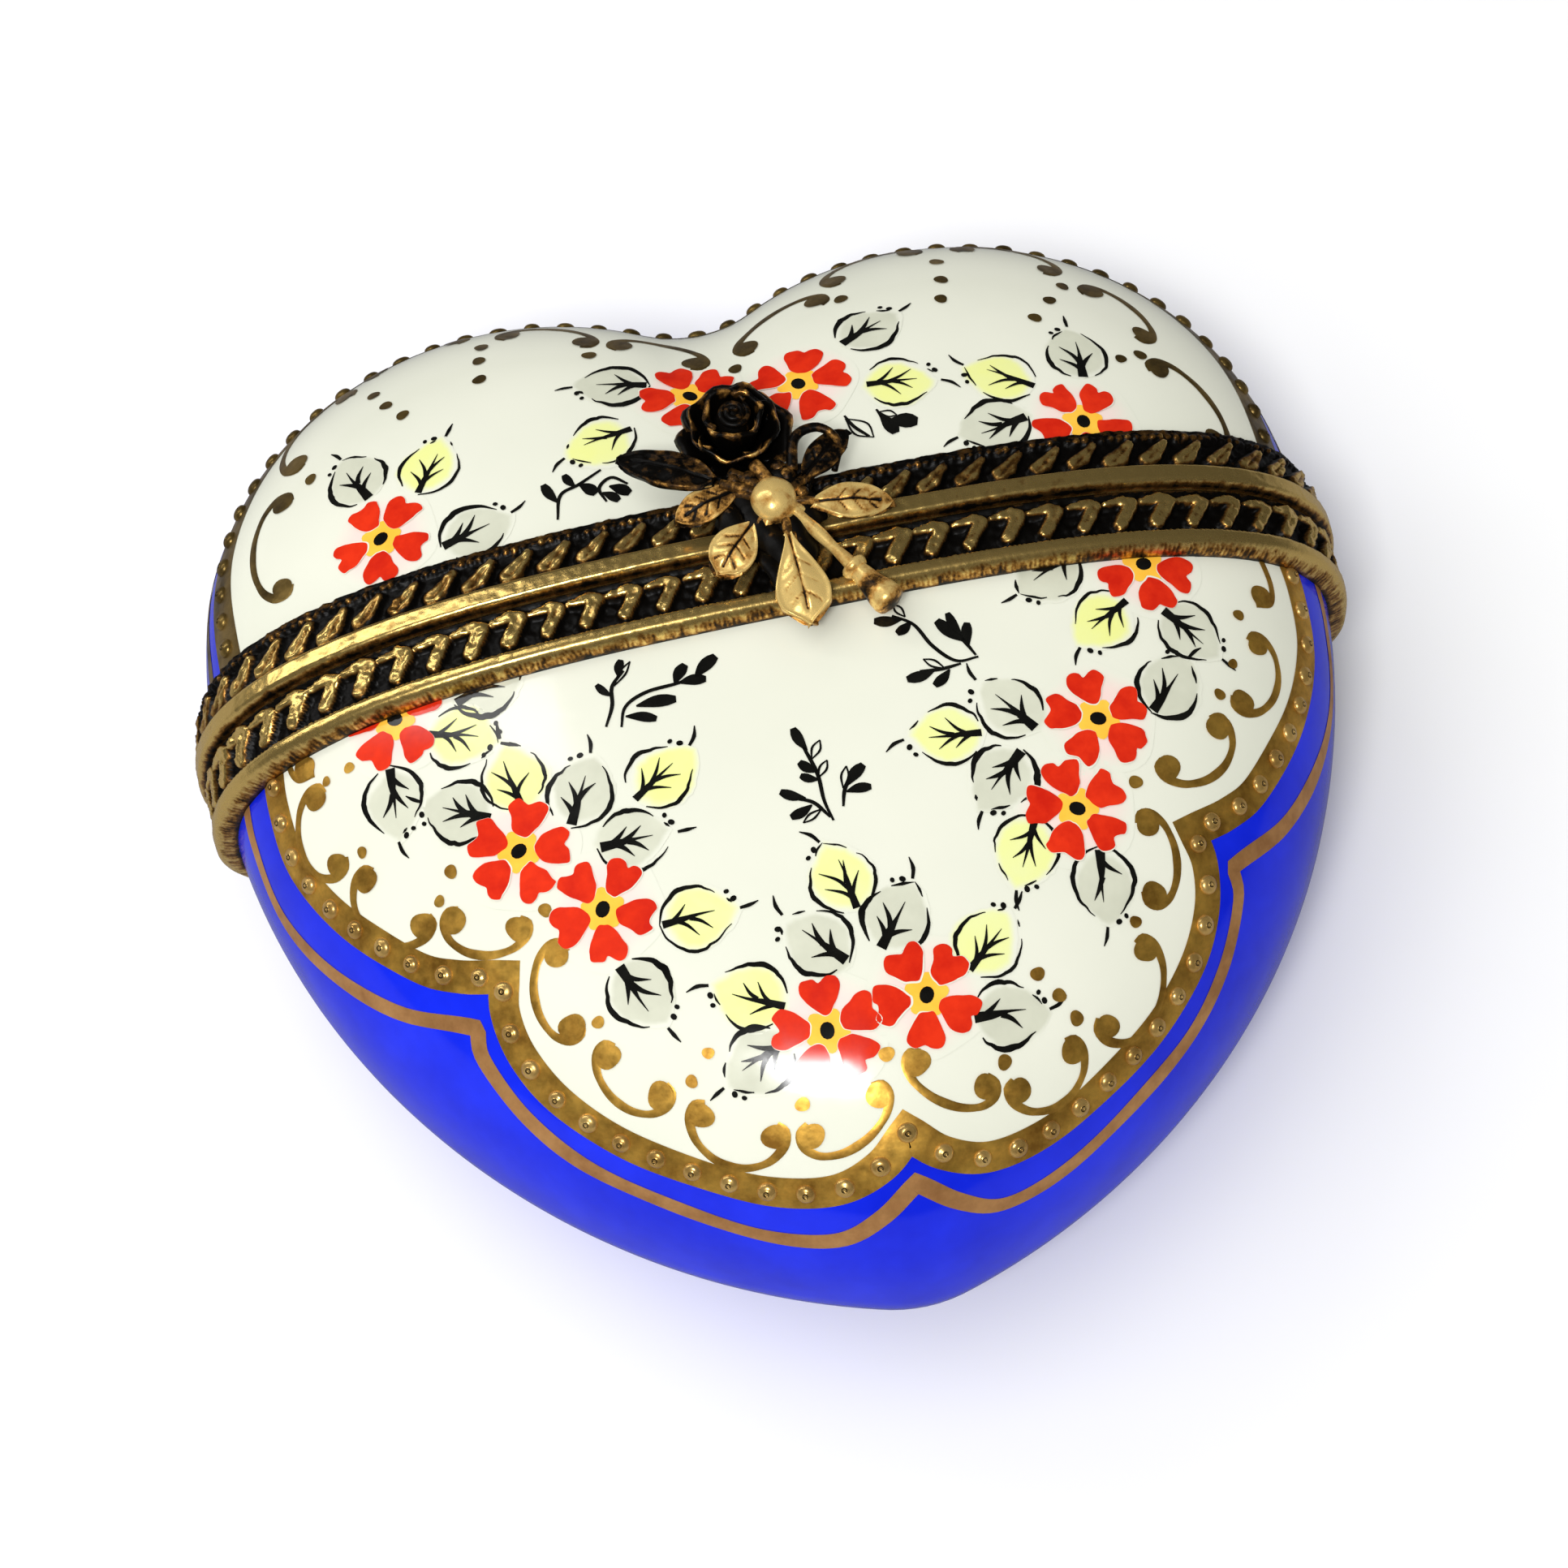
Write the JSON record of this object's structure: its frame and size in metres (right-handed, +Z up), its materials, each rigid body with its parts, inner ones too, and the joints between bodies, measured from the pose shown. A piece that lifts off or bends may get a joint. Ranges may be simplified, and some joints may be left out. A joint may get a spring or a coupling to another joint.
{
  "type": "porcelain trinket box",
  "caption": "Heart-shaped porcelain trinket box with a band of antique brass mounts, a hinge under the seam and a cast rose clasp on the face.",
  "frame": {"origin": "middle of the box's outside limits, on the plane its back rests on", "axes": "+X across the heart, +Y from the tip to the two lobes along the heart, +Z up out of the painted face"},
  "size_m": [0.059, 0.0554, 0.0282],
  "materials": {
    "porcelain_body": "glossy cobalt and white glaze, opaque",
    "porcelain_lid": "glossy white glaze with painted flowers, opaque",
    "mount_brass": "antiqued, dark in the recesses",
    "pin_wire": "drawn wire"
  },
  "bodies": {
    "body": {"body_shell": "porcelain_body", "body_rim": "mount_brass", "body_hinge_leaf": "mount_brass", "hinge_pin": "pin_wire", "catch_stud": "mount_brass"},
    "lid": {"lid_shell": "porcelain_lid", "lid_rim": "mount_brass", "lid_hinge_leaf": "mount_brass", "clasp_tongue": "mount_brass", "rose_bloom": "mount_brass", "leaf_left": "mount_brass", "leaf_upper": "mount_brass", "leaf_oval": "mount_brass", "leaf_hanging": "mount_brass", "leaf_right": "mount_brass", "leaf_back": "mount_brass", "bud_stem": "mount_brass", "bead": "mount_brass"}
  },
  "joints": [
    {"name": "lid_hinge", "type": "hinge", "parent": "body", "child": "lid", "pos_m": [0, 0.0061, 0.001], "axis": [-1, 0, 0], "range_deg": [0, 100]}
  ]
}
